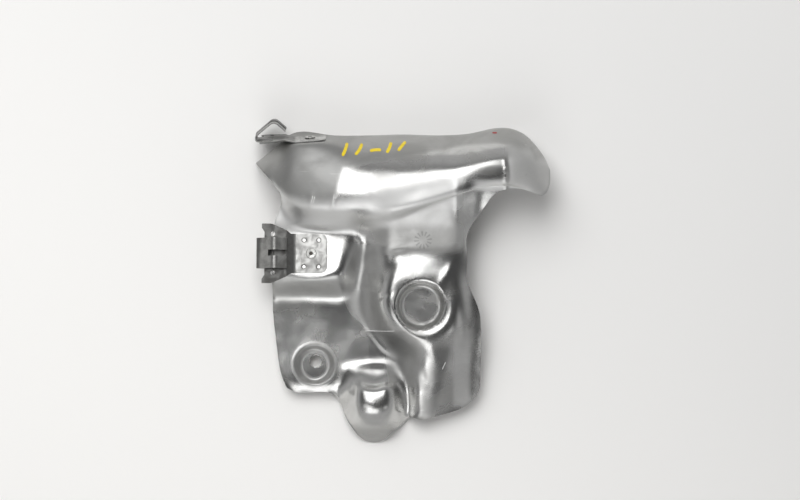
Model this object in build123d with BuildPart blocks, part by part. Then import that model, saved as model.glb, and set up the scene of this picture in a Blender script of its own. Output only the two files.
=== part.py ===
from build123d import *
import math
import os

# Exhaust heat shield: one pressed steel sheet that lies with its hollow side down, and two
# folded spring clips, each held by a tubular rivet. X runs along the trough, +Y is towards
# the trough's back wall, and Z is up from the surface that the shield lies on. Millimetres.

# Sheet, and the net of points that its pressed skin is drawn through
sheet_thickness = 0.8
net_columns = 36
wall_rows = 16
front_rows = 32
skin_tolerance = 0.1
skin_weights = (1, 1, 1)
skin_degree = 5

# Plan of the sheet: the foot of the back wall, the crest of the trough and the three free edges.
# The back foot and the crest also give heights.
back_foot = [(-110.8, 89.5, 0.1), (-95, 102.5, 0.1), (-84, 112, 0.4), (-70, 113.4, 0.45), (-57, 111.3, 0.25),
             (-40, 110.4, 0), (0, 111.3, 0), (42, 111, 0), (56, 112.8, 0), (68, 115.8, 0.2), (84, 115.6, 1.8),
             (95, 109.3, 9), (102, 100.5, 20), (107.3, 92.5, 28), (110.7, 84, 31)]
crest = [(-97, 74.5, 36), (-92, 66.5, 40), (-85, 60.5, 43.5), (-74, 57.5, 46.5), (-58, 56.5, 49),
         (-42, 58, 51), (-20, 63, 53.5), (5, 69, 55.5), (30, 74.5, 56.5), (55, 80, 57), (80, 85, 56),
         (96, 83, 51), (105, 79, 44), (110.7, 75, 38)]
left_edge = [(-97, 74.5), (-92, 68), (-90.7, 60), (-94, 50), (-97, 38), (-97.5, 0), (-97.5, -20),
             (-94.5, -50), (-90, -74), (-87, -80.5)]
right_edge = [(110.7, 75), (108.7, 68), (106, 64.3), (97, 66.3), (87, 69.2), (77, 68.8), (69, 65), (61, 55),
              (52, 42), (49, 36), (48.8, 20), (49.2, 0), (53, -10), (58, -23), (59.2, -35), (59.2, -60),
              (58.8, -80)]
front_edge = [(-87, -80.5), (-81, -83.6), (-60, -83.6), (-52, -85.5), (-46.4, -92.7), (-43, -102),
              (-37, -112), (-29, -120.5), (-21, -122.6), (-13, -120), (-6, -113), (2, -106.5), (7, -102.5),
              (12, -104.3), (24, -102.6), (40, -98), (51, -92.2), (58.8, -80)]
wall_skirt = 4.0

# Shoulder of the back wall along the crest, from 0 at the left end to 1: a quarter round is 1, a squarer
# shoulder is less
wall_shoulder = [(0, 1), (0.17, 0.45), (0.4, 0.9), (0.6, 1), (1, 1)]

# Front flank of the trough: its rounding along the crest, from 0 at the left end to 1, and its slope
flank_radius = [(0, 6), (0.22, 5), (0.33, 8), (0.48, 24), (0.75, 31), (1, 30)]
flank_slope = 2.0
crest_run = 14.0
flank_valley = 10.0
valley_radius = 6.0

# Heights and places along Y of the forms in front of the trough
flat_height = [(-140, -24), (-110, -9), (-95, -1), (-89, 4), (-83.5, 9.8), (-79.5, 12), (-30, 12),
               (-8, 13.5), (12, 18.5), (30, 21), (100, 21.5)]
body_height = [(-140, 8), (-105, 14), (-85, 20.5), (-60, 28.5), (-40, 33.5), (-18, 35.5), (0, 35),
               (18, 35.3), (28, 36.5), (40, 42.5), (55, 48.5), (65, 51.8), (75, 54), (100, 55.5)]
body_foot = [(-140, -2), (-104, 0.6), (-83, -1), (-64, -4), (-48, -4.5), (-38, -14), (-25, -30), (-10, -36),
             (5, -35), (30, -35), (100, -38)]
body_rise = [(-140, 8), (-104, 9), (-83, 15), (-64, 20), (-45, 26), (-25, 30), (-10, 34), (5, 29), (30, 27),
             (100, 26)]
body_turn = [(-140, 8), (-104, 12), (-83, 16), (-64, 22), (-45, 28), (-18, 34), (10, 36), (100, 40)]
body_fall = [(-140, 4), (-100, 5), (-60, 8), (-30, 7), (0, 6), (30, 6), (100, 4)]
body_side = 58.0

# Flat pad under the side clip
pad_centre = (-68.0, 21.0)
pad_height = 27.0
pad_slope_x = 0.1
pad_slope_y = -0.05
pad_right = -31.0
pad_skew = 0.25
pad_front = -12.0
pad_run = 14.0

# Flat pad under the upper clip, pressed into the back wall
wall_pad_centre = (-69.0, 106.6, 22.8)
wall_pad_half = (15.5, 17.6)
wall_pad_run_left = 12.0
wall_pad_run_right = 20.0
wall_pad_run_up = 12.0
wall_pad_run_down = 6.0
wall_pad_lean = 10.0
wall_pad_turn = 4.0

# Spout at the front
spout_centre = (-20.5, -92.0)
spout_height = 27.0
spout_half_width = 26.8
spout_reach = 31.0
spout_power = 2.8
spout_start = -63.0
spout_run = 13.0

# Round recesses, with a narrow coined ring round each
ring_width = 1.2
ring_proud = 0.25
bolt_dish_centre = (-66.0, -63.2)
bolt_dish_floor = 11.5
bolt_dish_rim = 15.0
bolt_dish_depth = 3.6
bolt_hole_centre = (-65.2, -60.5)
bolt_hole_radius = 4.5
boss_centre = (14.0, -18.0)
boss_height = 36.5
boss_flat = 26.0
boss_run = 13.0
recess_floor = 15.5
recess_rim = 19.5
recess_depth = 6.5

# Spring clip: plate, step up, base with two ears, and the arm that turns back over the base
clip_thickness = 0.9
clip_bend = 2.5
clip_seat = 0.25
plate_length = 23.6
plate_width = 29.6
plate_corner = 5.0
step_length = 7.0
step_rise = 2.0
base_reach = 23.4
ear_start = 16.2
ear_tip = 22.4
ear_reach = 25.4
ear_corner = 1.6
ear_hole_at = (17.1, 14.7)
ear_hole_radius = 1.75
arm_width = 22.8
arm_turn_at = 29.0
arm_turn_height = 4.6
arm_peak = (14.0, 15.5)
arm_end = (5.6, 7.0)
arm_root_lap = 4.0
arm_turn_radius = 2.0
arm_peak_radius = 5.0
arm_slot_width = 4.6
arm_slot_start = 19.0
dimple_pitch = (11.2, 20.0)
dimple_radius = 1.9
dimple_depth = 0.4

# Tubular rivet
rivet_radius = 2.3
rivet_clearance = 0.1
rivet_head_radius = 3.95
rivet_head_height = 1.1
rivet_head_round = 0.5
rivet_cup_radius = 1.5
rivet_cup_depth = 2.0
rivet_tail_radius = 3.6
rivet_tail_height = 1.0


def curve(points, at):
    """Value at a place on the smooth curve through the points, which are (place, value)."""
    last = len(points) - 2
    i = next((k for k in range(last) if at < points[k + 1][0]), last)

    def slope(k):
        before, after = points[max(k - 1, 0)], points[min(k + 1, last + 1)]
        return (after[1] - before[1]) / (after[0] - before[0])

    (start, low), (end, high) = points[i], points[i + 1]
    span = end - start
    t = min(max((at - start) / span, 0), 1)
    ends = (2 * t**3 - 3 * t**2 + 1) * low + (3 * t**2 - 2 * t**3) * high
    return ends + span * ((t**3 - 2 * t**2 + t) * slope(i) + (t**3 - t**2) * slope(i + 1))


def ease(t):
    """Smooth step from 0 to 1."""
    t = min(max(t, 0), 1)
    return t * t * (3 - 2 * t)


def upper(a, b, rounding):
    """The higher of two heights, with a rounded valley where they cross."""
    overlap = max(rounding - abs(a - b), 0)
    return max(a, b) + overlap**2 / (4 * rounding)


def pad_plane(x, y):
    """Height of the side clip's pad."""
    return pad_height + pad_slope_x * (x - pad_centre[0]) + pad_slope_y * (y - pad_centre[1])


def front_body(x, y):
    """Height of the forms in front of the trough: body with its boss, clip pad and spout on the flat."""
    flat = curve(flat_height, y)
    turn = curve(body_turn, y)
    body = (curve(body_height, y) - flat) * ease((x - curve(body_foot, y)) / curve(body_rise, y))
    body -= curve(body_fall, y) * ease((x - turn) / (body_side - turn))
    reach = math.hypot(x - boss_centre[0], y - boss_centre[1])
    body += (boss_height - flat - body) * ease((boss_flat + boss_run - reach) / boss_run)
    right = pad_right + pad_skew * (y - pad_centre[1])
    on_pad = ease((right - x) / pad_run) * ease((y - pad_front) / pad_run)
    pad = (pad_plane(x, y) - flat) * on_pad
    across = (x - spout_centre[0]) / spout_half_width
    along = max(spout_centre[1] - y, 0) / spout_reach
    dome = spout_height * (1 - abs(across) ** spout_power - along**2)
    start = ease((y - spout_start + spout_run) / spout_run)
    spout = upper(dome - (dome + spout_height / 2) * start - flat, 0, valley_radius)
    return flat + math.hypot(math.hypot(body, pad), spout)


foot_line = Spline(*back_foot)
crest_line = Spline(*crest)
left_line = Spline(*left_edge)
right_line = Spline(*right_edge)
front_line = Spline(*front_edge)


def wall_point(u, v):
    """Point of the back wall, from its foot at v = 0 over its shoulder to the crest at v = 1."""
    low, high = foot_line @ u, crest_line @ u
    skirt = wall_skirt / (wall_skirt + math.pi / 2 * (high.Z - low.Z - wall_skirt))
    shoulder = curve(wall_shoulder, u)
    angle = math.pi / 2 * min((1 - v) / (1 - skirt), 1) ** ((1 + 1 / shoulder) / 2)
    straight = wall_skirt * max(1 - v / skirt, 0)
    plan = high + (low - high) * math.sin(angle) ** shoulder
    height = low.Z + wall_skirt - straight + (high.Z - low.Z - wall_skirt) * math.cos(angle)
    return Vector(plan.X, plan.Y, height)


def front_point(u, v):
    """Point of the skin from the crest at v = 0 to the front edge at v = 1."""
    top = crest_line @ u
    sides = (left_line @ v) * (1 - u) + (right_line @ v) * u
    ends = top * (1 - v) + (front_line @ u) * v
    back_corners = (crest_line @ 0) * (1 - u) + (crest_line @ 1) * u
    front_corners = (front_line @ 0) * (1 - u) + (front_line @ 1) * u
    plan = sides + ends - back_corners * (1 - v) - front_corners * v
    across = math.hypot(plan.X - top.X, plan.Y - top.Y)
    radius = curve(flank_radius, u)
    straight = max(across - flank_slope * radius, 0)
    flank = top.Z - (across - straight) ** 2 / (2 * radius) - flank_slope * straight
    body = upper(flank, front_body(plan.X, plan.Y), flank_valley)
    return Vector(plan.X, plan.Y, flank + (body - flank) * ease(across / crest_run))


def wall_pad_plane():
    """Plane of the upper clip's pad: its X runs along the clip, its Y up and its Z out of the wall."""
    lean, turn = math.radians(wall_pad_lean), math.radians(wall_pad_turn)
    along = Vector(-math.cos(turn), -math.sin(turn), 0)
    level = Vector(-math.sin(turn), math.cos(turn), 0)
    return Plane(wall_pad_centre, x_dir=along, z_dir=level * math.cos(lean) + Vector(0, 0, math.sin(lean)))


upper_clip_plane = wall_pad_plane()


def flatten(point):
    """Moves a point of the back wall onto the upper clip's pad, near the pad, at the same height."""
    local = upper_clip_plane.to_local_coords(point)
    half_along, half_up = wall_pad_half
    run = wall_pad_run_left if local.X > 0 else wall_pad_run_right
    weight = ease((half_along + run - abs(local.X)) / run)
    weight *= ease((half_up + wall_pad_run_up - local.Y) / wall_pad_run_up)
    weight *= ease((half_up + wall_pad_run_down + local.Y) / wall_pad_run_down)
    outward = upper_clip_plane.z_dir
    level = Vector(outward.X, outward.Y, 0)
    return point - level * (local.Z * weight / level.dot(outward))


def section(u):
    """One section of the skin, from the foot of the back wall to the front edge."""
    wall = [flatten(wall_point(u, k / wall_rows)) for k in range(wall_rows)]
    return wall + [front_point(u, k / front_rows) for k in range(front_rows + 1)]


def hollow_side(net):
    """The same net on the sheet's other face."""
    columns, rows = len(net), len(net[0])
    moved = []
    for i in range(columns):
        line = []
        for j in range(rows):
            along = net[min(i + 1, columns - 1)][j] - net[max(i - 1, 0)][j]
            across = net[i][max(j - 1, 0)] - net[i][min(j + 1, rows - 1)]
            line.append(net[i][j] - along.cross(across).normalized() * sheet_thickness)
        moved.append(line)
    return moved


def skin(net):
    """Smooth face through a net of points."""
    return Face.make_surface_from_array_of_points(net, skin_tolerance, skin_weights, max_deg=skin_degree)


def pressed_sheet():
    """The sheet between its two skins, closed by a cut edge along each side."""
    net = [section(k / net_columns) for k in range(net_columns + 1)]
    outer, inner = skin(net), skin(hollow_side(net))
    edges = [
        Face.make_surface_from_curves(side, inner.edges().sort_by(lambda e: (e @ 0.5 - side @ 0.5).length)[0])
        for side in outer.edges()
    ]
    return Solid(Shell([outer, inner, *edges]))


os.makedirs("parts", exist_ok=True)
sheet = pressed_sheet()
side_clip_plane = Plane(
    (*pad_centre, pad_height),
    x_dir=(-1, 0, -pad_slope_x),
    z_dir=(-pad_slope_x, -pad_slope_y, 1),
)
clip_on_pad = Location((plate_length / 2, 0, clip_seat))

with BuildPart() as shield_panel:
    add(sheet)
    bolt_dish_height = curve(flat_height, bolt_dish_centre[1])
    for centre, height, floor, rim, depth in (
        (bolt_dish_centre, bolt_dish_height, bolt_dish_floor, bolt_dish_rim, bolt_dish_depth),
        (boss_centre, boss_height, recess_floor, recess_rim, recess_depth),
    ):
        with BuildSketch(Plane.XY) as opening:
            with Locations(centre):
                Circle(rim)
        extrude(amount=height + rim, mode=Mode.SUBTRACT)
        with BuildSketch(Plane((*centre, height), x_dir=(1, 0, 0), z_dir=(0, -1, 0))) as half_section:
            with BuildLine():
                Polyline((0, -depth), (floor, -depth), (rim, 0))
                offset(amount=sheet_thickness, side=Side.RIGHT)
            make_face()
            with Locations((rim, ring_proud)):
                Rectangle(ring_width, sheet_thickness + 2 * ring_proud, align=(Align.MIN, Align.MAX))
        revolve(axis=Axis((*centre, 0), (0, 0, 1)))
    with BuildSketch(Plane.XY) as bolt_hole:
        with Locations(bolt_hole_centre):
            Circle(bolt_hole_radius)
    extrude(amount=bolt_dish_height, mode=Mode.SUBTRACT)
    for plane in (side_clip_plane, upper_clip_plane):
        with BuildSketch(plane) as rivet_hole:
            Circle(rivet_radius + rivet_clearance)
        extrude(amount=2 * sheet_thickness, both=True, mode=Mode.SUBTRACT)

with BuildPart() as spring_clip:
    with BuildSketch(Plane.XZ) as body_section:
        with BuildLine():
            FilletPolyline(
                (-plate_length, 0),
                (0, 0),
                (step_length, step_rise),
                (ear_reach, step_rise),
                radius=clip_bend,
            )
            offset(amount=clip_thickness, side=Side.LEFT)
        make_face()
    extrude(amount=ear_tip, both=True)
    with BuildSketch() as body_plan:
        with BuildLine():
            Polyline(
                (-plate_length, 0),
                (-plate_length, plate_width / 2),
                (step_length / 2, plate_width / 2),
                (step_length, ear_start + clip_bend / 2),
                (ear_hole_at[0], ear_tip - ear_corner / 4),
                (ear_hole_at[0] + ear_hole_radius, ear_tip),
                (ear_reach, ear_tip),
                (ear_reach, ear_tip - 2 * ear_corner),
                (base_reach, ear_start),
                (base_reach, 0),
                close=True,
            )
        make_face()
        mirror(about=Plane.XZ)
        fillet(body_plan.vertices().group_by(Axis.X)[0], radius=plate_corner)
        with Locations(*[(ear_hole_at[0], side * ear_hole_at[1]) for side in (-1, 1)]):
            Circle(ear_hole_radius, mode=Mode.SUBTRACT)
        with Locations((-plate_length / 2, 0)):
            Circle(rivet_radius + rivet_clearance, mode=Mode.SUBTRACT)
    extrude(amount=2 * step_rise, both=True, mode=Mode.INTERSECT)
    with Locations((-plate_length / 2, 0, clip_thickness)):
        with GridLocations(*dimple_pitch, 2, 2):
            CounterSinkHole(radius=dimple_radius / 4, counter_sink_radius=dimple_radius, depth=dimple_depth)
    with BuildSketch(Plane.XZ) as arm_section:
        with BuildLine():
            FilletPolyline(
                (base_reach - arm_root_lap, step_rise),
                (arm_turn_at, step_rise),
                (arm_turn_at, step_rise + arm_turn_height),
                (arm_peak[0], step_rise + arm_peak[1]),
                (arm_end[0], step_rise + arm_end[1]),
                radius=[arm_turn_radius, arm_turn_radius, arm_peak_radius],
            )
            offset(amount=clip_thickness, side=Side.LEFT)
        make_face()
    extrude(amount=arm_width / 2, both=True)
    with BuildSketch(Plane.XY.offset(step_rise + 2 * clip_thickness)) as arm_slot:
        with Locations((arm_slot_start, 0)):
            Rectangle(arm_slot_start, arm_slot_width, align=(Align.MAX, Align.CENTER))
    extrude(amount=arm_peak[1], mode=Mode.SUBTRACT)

with BuildPart() as clip_rivet:
    with BuildSketch(Plane.XZ) as rivet_section:
        head_seat = clip_seat + clip_thickness
        head_top = head_seat + rivet_head_height
        with Locations((0, head_seat)):
            Rectangle(rivet_head_radius, rivet_head_height, align=(Align.MIN, Align.MIN))
        rim = rivet_section.vertices().sort_by_distance((rivet_head_radius, head_top))[0]
        fillet(rim, rivet_head_round)
        with Locations((0, head_seat)):
            Rectangle(rivet_radius, head_seat + sheet_thickness + clip_seat, align=(Align.MIN, Align.MAX))
        with Locations((0, -sheet_thickness - clip_seat)):
            Rectangle(rivet_tail_radius, rivet_tail_height, align=(Align.MIN, Align.MAX))
        with Locations((0, head_top)):
            Rectangle(rivet_cup_radius, rivet_cup_depth, align=(Align.MIN, Align.MAX), mode=Mode.SUBTRACT)
    revolve(axis=Axis.Z)

with BuildPart() as side_clip:
    with Locations(side_clip_plane.location * clip_on_pad):
        add(spring_clip.part)

with BuildPart() as side_clip_rivet:
    with Locations(side_clip_plane.location):
        add(clip_rivet.part)

with BuildPart() as upper_clip:
    with Locations(upper_clip_plane.location * clip_on_pad):
        add(spring_clip.part)

with BuildPart() as upper_clip_rivet:
    with Locations(upper_clip_plane.location):
        add(clip_rivet.part)

shield_panel.part.label = "shield_panel"
side_clip.part.label = "side_clip"
side_clip_rivet.part.label = "side_clip_rivet"
upper_clip.part.label = "upper_clip"
upper_clip_rivet.part.label = "upper_clip_rivet"
export_step(shield_panel.part, "parts/shield_panel.step")
export_step(side_clip.part, "parts/side_clip.step")
export_step(side_clip_rivet.part, "parts/side_clip_rivet.step")
export_step(upper_clip.part, "parts/upper_clip.step")
export_step(upper_clip_rivet.part, "parts/upper_clip_rivet.step")
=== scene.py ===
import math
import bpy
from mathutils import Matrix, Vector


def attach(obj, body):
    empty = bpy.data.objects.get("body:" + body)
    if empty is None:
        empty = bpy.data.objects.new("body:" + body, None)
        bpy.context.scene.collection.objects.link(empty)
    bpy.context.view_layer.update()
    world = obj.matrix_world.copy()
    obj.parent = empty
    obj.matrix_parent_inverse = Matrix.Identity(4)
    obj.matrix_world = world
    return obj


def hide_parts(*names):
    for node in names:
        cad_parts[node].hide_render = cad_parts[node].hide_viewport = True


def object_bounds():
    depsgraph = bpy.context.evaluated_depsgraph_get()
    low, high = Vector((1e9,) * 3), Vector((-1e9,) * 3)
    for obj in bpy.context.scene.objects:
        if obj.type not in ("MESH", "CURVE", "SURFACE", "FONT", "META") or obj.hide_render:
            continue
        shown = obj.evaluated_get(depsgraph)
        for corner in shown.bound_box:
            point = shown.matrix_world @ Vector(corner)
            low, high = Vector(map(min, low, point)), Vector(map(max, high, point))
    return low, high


bl_info = {
    "name": "Exhaust heat shield",
    "version": (1, 0, 0),
    "blender": (4, 5, 0),
    "location": "View3D > Sidebar > Heat shield",
    "description": "Dresses a pressed exhaust heat shield: panel, clips, rivets, marks and stage",
    "category": "Object",
}

import bpy
import numpy as np
from bpy.props import FloatProperty, FloatVectorProperty, IntProperty, PointerProperty
from mathutils import Vector, noise

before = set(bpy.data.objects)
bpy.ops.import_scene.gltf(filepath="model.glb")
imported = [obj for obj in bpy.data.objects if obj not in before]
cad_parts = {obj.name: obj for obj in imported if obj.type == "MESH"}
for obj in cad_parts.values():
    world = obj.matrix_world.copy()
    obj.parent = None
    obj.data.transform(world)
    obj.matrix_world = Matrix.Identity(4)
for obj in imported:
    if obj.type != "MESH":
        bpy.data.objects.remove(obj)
cad_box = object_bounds()

# Millimetres in a metre
MM = 1000.0

# The pressed form in millimetres: the solid's guide lines and heights, with the side pad 3 mm longer
BACK_FOOT = [(-110.8, 89.5, 0.1), (-95, 102.5, 0.1), (-84, 112, 0.4), (-70, 113.4, 0.45), (-57, 111.3, 0.25),
             (-40, 110.4, 0), (0, 111.3, 0), (42, 111, 0), (56, 112.8, 0), (68, 115.8, 0.2), (84, 115.6, 1.8),
             (95, 109.3, 9), (102, 100.5, 20), (107.3, 92.5, 28), (110.7, 84, 31)]
CREST = [(-97, 74.5, 36), (-92, 66.5, 40), (-85, 60.5, 43.5), (-74, 57.5, 46.5), (-58, 56.5, 49),
         (-42, 58, 51), (-20, 63, 53.5), (5, 69, 55.5), (30, 74.5, 56.5), (55, 80, 57), (80, 85, 56),
         (96, 83, 51), (105, 79, 44), (110.7, 75, 38)]
LEFT_EDGE = [(-97, 74.5), (-92, 68), (-90.7, 60), (-94, 50), (-97, 38), (-97.5, 0), (-97.5, -20),
             (-94.5, -50), (-90, -74), (-87, -80.5)]
RIGHT_EDGE = [(110.7, 75), (108.7, 68), (106, 64.3), (97, 66.3), (87, 69.2), (77, 68.8), (69, 65), (61, 55),
              (52, 42), (49, 36), (48.8, 20), (49.2, 0), (53, -10), (58, -23), (59.2, -35), (59.2, -60),
              (58.8, -80)]
FRONT_EDGE = [(-87, -80.5), (-81, -83.6), (-60, -83.6), (-52, -85.5), (-46.4, -92.7), (-43, -102),
              (-37, -112), (-29, -120.5), (-21, -122.6), (-13, -120), (-6, -113), (2, -106.5), (7, -102.5),
              (12, -104.3), (24, -102.6), (40, -98), (51, -92.2), (58.8, -80)]
LINE_STEPS = 60
WALL_SKIRT = 4.0
WALL_SHOULDER = [(0, 1), (0.17, 0.45), (0.4, 0.9), (0.6, 1), (1, 1)]
FLANK_RADIUS = [(0, 6), (0.22, 5), (0.33, 8), (0.48, 24), (0.75, 31), (1, 30)]
FLANK_SLOPE = 2.0
CREST_RUN = 14.0
FLANK_VALLEY = 10.0
VALLEY_RADIUS = 6.0
FLAT_HEIGHT = [(-140, -24), (-110, -9), (-95, -1), (-89, 4), (-83.5, 9.8), (-79.5, 12), (-30, 12),
               (-8, 13.5), (12, 18.5), (30, 21), (100, 21.5)]
BODY_HEIGHT = [(-140, 8), (-105, 14), (-85, 20.5), (-60, 28.5), (-40, 33.5), (-18, 35.5), (0, 35),
               (18, 35.3), (28, 36.5), (40, 42.5), (55, 48.5), (65, 51.8), (75, 54), (100, 55.5)]
BODY_FOOT = [(-140, -2), (-104, 0.6), (-83, -1), (-64, -4), (-48, -4.5), (-38, -14), (-25, -30), (-10, -36),
             (5, -35), (30, -35), (100, -38)]
BODY_RISE = [(-140, 8), (-104, 9), (-83, 15), (-64, 20), (-45, 26), (-25, 30), (-10, 34), (5, 29), (30, 27),
             (100, 26)]
BODY_TURN = [(-140, 8), (-104, 12), (-83, 16), (-64, 22), (-45, 28), (-18, 34), (10, 36), (100, 40)]
BODY_FALL = [(-140, 4), (-100, 5), (-60, 8), (-30, 7), (0, 6), (30, 6), (100, 4)]
BODY_SIDE = 58.0
PAD_CENTRE = (-68.0, 21.0)
PAD_HEIGHT = 27.0
PAD_SLOPE = (0.1, -0.05)
PAD_RIGHT = -28.0
PAD_SKEW = 0.25
PAD_FRONT = -12.0
PAD_RUN = 14.0
WALL_PAD_CENTRE = (-69.0, 106.6, 22.8)
WALL_PAD_HALF = (15.5, 17.6)
WALL_PAD_RUN_LEFT = 12.0
WALL_PAD_RUN_RIGHT = 20.0
WALL_PAD_RUN_UP = 12.0
WALL_PAD_RUN_DOWN = 6.0
WALL_PAD_LEAN = math.radians(10)
WALL_PAD_TURN = math.radians(4)
SPOUT_CENTRE = (-20.5, -92.0)
SPOUT_HEIGHT = 27.0
SPOUT_HALF_WIDTH = 26.8
SPOUT_REACH = 31.0
SPOUT_POWER = 2.8
SPOUT_START = -63.0
SPOUT_RUN = 13.0
BOSS_CENTRE = (14.0, -18.0)
BOSS_HEIGHT = 36.5
BOSS_FLAT = 26.0
BOSS_RUN = 13.0

# Round recesses: centre, floor radius, rim radius and depth
BOLT_DISH = ((-66.0, -63.2), 11.5, 15.0, 3.6)
BOSS_RECESS = (BOSS_CENTRE, 15.0, 19.0, 6.5)
RECESS_ROUND = 0.5
RING_WIDTH = 1.2
RING_HEIGHT = 0.15
BOSS_LIP_OUTER = 24.0
BOSS_LIP_WIDTH = 5.5
BOSS_LIP_DEPTH = 1.5
BOSS_LIP_BULGE = 0.6
BOSS_LIP_TURN = math.radians(-48)

# Bolt hole, and the heights between which its cutting tool reaches
BOLT_HOLE_CENTRE = (-65.2, -60.5)
BOLT_HOLE_RADIUS = 4.5
BOLT_HOLE_SIDES = 64
BOLT_HOLE_TOOL = (-2.0, 14.0)

# Rounds of smoothing that round the bends of the skin and of its border, and the clip pads they leave flat
SOFT_ROUNDS = 36
EDGE_ROUNDS = 6
PAD_KEEP = 18.0
PAD_KEEP_RUN = 10.0

# Waves that handling leaves: length, share of the height and shift of the pattern
WAVES = [(21.0, 1.0, 0.0), (8.5, 0.45, 40.0)]

# Small dents and kinks: centre, half sizes, turn in degrees and height
KINKS = [
    ((-67.5, 60), (2.2, 5.0), -15, 0.7),
    ((-51, 57.5), (1.8, 4.2), -18, 0.6),
    ((-19, 28), (11, 1.8), -14, -0.5),
    ((-2, 25), (6, 1.6), 8, -0.5),
    ((22, -52), (5, 9), 20, 0.7),
    ((16, -72), (4, 7), 10, -0.8),
    ((12, -88), (4, 8), 5, 0.7),
    ((-23, 18), (9, 4), 35, 0.6),
    ((-9, 12), (5, 8), -30, -0.7),
    ((-38, -78), (4, 7), 30, -0.5),
    ((-12, -78), (5, 6), -25, 0.6),
    ((32, 4), (10, 3), 60, 0.5),
    ((45, -30), (3, 14), 8, -0.6),
    ((-30, -6), (5, 10), 20, -0.5),
    ((76.8, 80), (0.9, 10), 3, 0.9),
    ((79.5, 80), (2.0, 11), 3, -0.5),
    ((-16, -37), (12, 0.9), 0, -0.35),
    ((41, 62), (2.5, 14), 4, 0.5),
    ((-84, 82), (6, 9), -35, 0.5),
    ((-24, -6), (7, 1.6), -20, 0.6),
    ((-14, -11), (5, 1.4), 25, -0.6),
    ((9, -40), (8, 1.8), -28, 0.5),
    ((-20.5, -95), (13, 8), 0, 1.6),
    ((-21, -76), (13, 5), 0, -2.2),
    ((-21, -66), (15, 4), 0, 1.2),
    ((8, 24), (22, 7), 0, -0.9),
    ((8, 2), (20, 6), 0, 0.5),
    ((-63, 43.5), (20, 4), -3, 2.0),
    ((60, 88), (16, 5), 12, 0.9),
    ((-32, -87), (5, 12), 0, 1.1),
    ((-9, -87), (5, 12), 0, 1.1),
    ((13, 59.5), (30, 5), 16, 2.0),
]

# Marks on the panel, as short lines in plan: plain marker dashes, one check dot and bright scratches
DASHES = [
    [(-44.5, 93.5), (-42.3, 98.5), (-41, 104)],
    [(-35, 94.5), (-31.8, 98.6), (-30, 103.5)],
    [(-24, 97.5), (-20, 98.4), (-15.5, 98.2)],
    [(-11.5, 96), (-9.4, 100), (-8.2, 104.5)],
    [(-3, 97.5), (0, 101.5), (2.8, 105)],
]
DOT = [[(69.5, 110.8), (69.5, 111.5), (69.5, 112.2)]]
SCRATCHES = [
    [(32.7, -60.5), (31.6, -63), (30.2, -66)],
    [(-66.5, 64), (-67, 60.8), (-68, 58)],
    [(-65, 63.5), (-65.6, 60.5), (-66.4, 58)],
    [(-50.3, 65.5), (-51.2, 60), (-52, 55.5)],
    [(-28, -37.2), (-16, -37.5), (-5, -37.1)],
]
STROKE_POINTS = 25
STROKE_END = 9

# Areas of the panel's finish and of its painted shade and sheen: slant, then low limit, soft run, high limit
# and soft run along X and along Y
FAR = 300.0
AREAS = {
    "flare": (0.3, (-FAR, 1, -66.7, 5), (55, 4, FAR, 1)),
    "flap": (0, (75, 8, FAR, 1), (-FAR, 1, FAR, 1)),
    "flat_patch": (0, (-28, 6, 6, 10), (-74, 10, -36.5, 2)),
    "spout_tip": (0, (-FAR, 1, 0, 10), (-FAR, 1, -104, 10)),
    "shaded_strip": (0.24, (33.5, 6, 51.5, 6), (-104, 6, -44, 8)),
    "sheen_streak": (0, (37, 4, 53, 4), (-98, 8, -34, 10)),
    "right_side": (0, (47, 7, FAR, 1), (-92, 10, -28, 8)),
    "roof": (0, (-95, 10, 50, 15), (52, 5, FAR, 1)),
    "ledge": (0, (-100, 8, -30, 14), (34, 5, FAR, 1)),
    "upper_slope": (0, (-30, 12, 42, 12), (37, 7, 68, 8)),
    "lower_slope": (0, (-24, 14, 52, 14), (18, 6, 46, 8)),
    "pad_apron": (0, (-100, 6, -40, 10), (-14, 4, 6, 5)),
    "horn_shelf": (0, (48, 10, 80, 5), (66, 4, 78, 5)),
}
CREASE = ((-53, 48, 72, 95, 99), (83, 102, 103, 98, 92))
CREASE_RUN = 4.0
FLAP_RUN = 8.0
CREST_LAP = 7.0
CREST_LAP_RUN = 8.0
FOOT_ACROSS = (-11, 8, 21, 8)
FOOT_ALONG = (-80, 10, 32, 10)
DISH_WALLS = [(BOLT_DISH, 18.0), (BOSS_RECESS, 17.0)]
DISH_WALL_START = 3.0
DISH_WALL_RUN = 2.0

# How strongly each area takes each tone: painted shade with more roughness, a painted sheen with more
# roughness, and a darker tone that is mostly painted shade
MATTE_AND_SHADE = {"flare": 1.0, "flap": 1.0, "lower_slope": 0.7, "pad_apron": 0.8}
MATTE_AND_SHADE_FOOT = 0.75
MATTE_AND_SHADE_DISH = 0.6
SATIN_AND_SHEEN = {"upper_slope": 0.8, "horn_shelf": 1.0, "sheen_streak": 0.4}
SATIN_AND_SHEEN_FLAP = 0.7
DULL_AND_SHADE = {"flare": 0.3, "flat_patch": 0.7, "spout_tip": 0.8, "shaded_strip": 0.85, "right_side": 0.55}
RIM_STEPS = 2
FINISH_ROUGHNESS = 0.25

# Wear textures: limits between which each noise shows, scales per metre and turns of the scratches
STAIN_LIMITS = (0.38, 0.68)
SPECK_LIMITS = (0.66, 0.76)
SPECK_SCALE = 420.0
SCRATCH_LIMITS = (0.70, 0.78)
SCRATCH_SCALE = (26, 900, 300)
SCRATCH_TURNS = (0.5, -0.9)
GRAIN_SCALE = 1600.0
GRAIN_DEPTH = 0.00005

# Stamped dial in metres: centre, inner and outer radius and soft edge, then its number of spokes
DIAL = ((0.0157, 0.031), 0.003, 0.0064, 0.0004)
DIAL_SPOKES = 12.0
DIAL_SPOKE_LIMITS = (0.1, 0.5)
DIAL_DEPTH = 8.0

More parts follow.
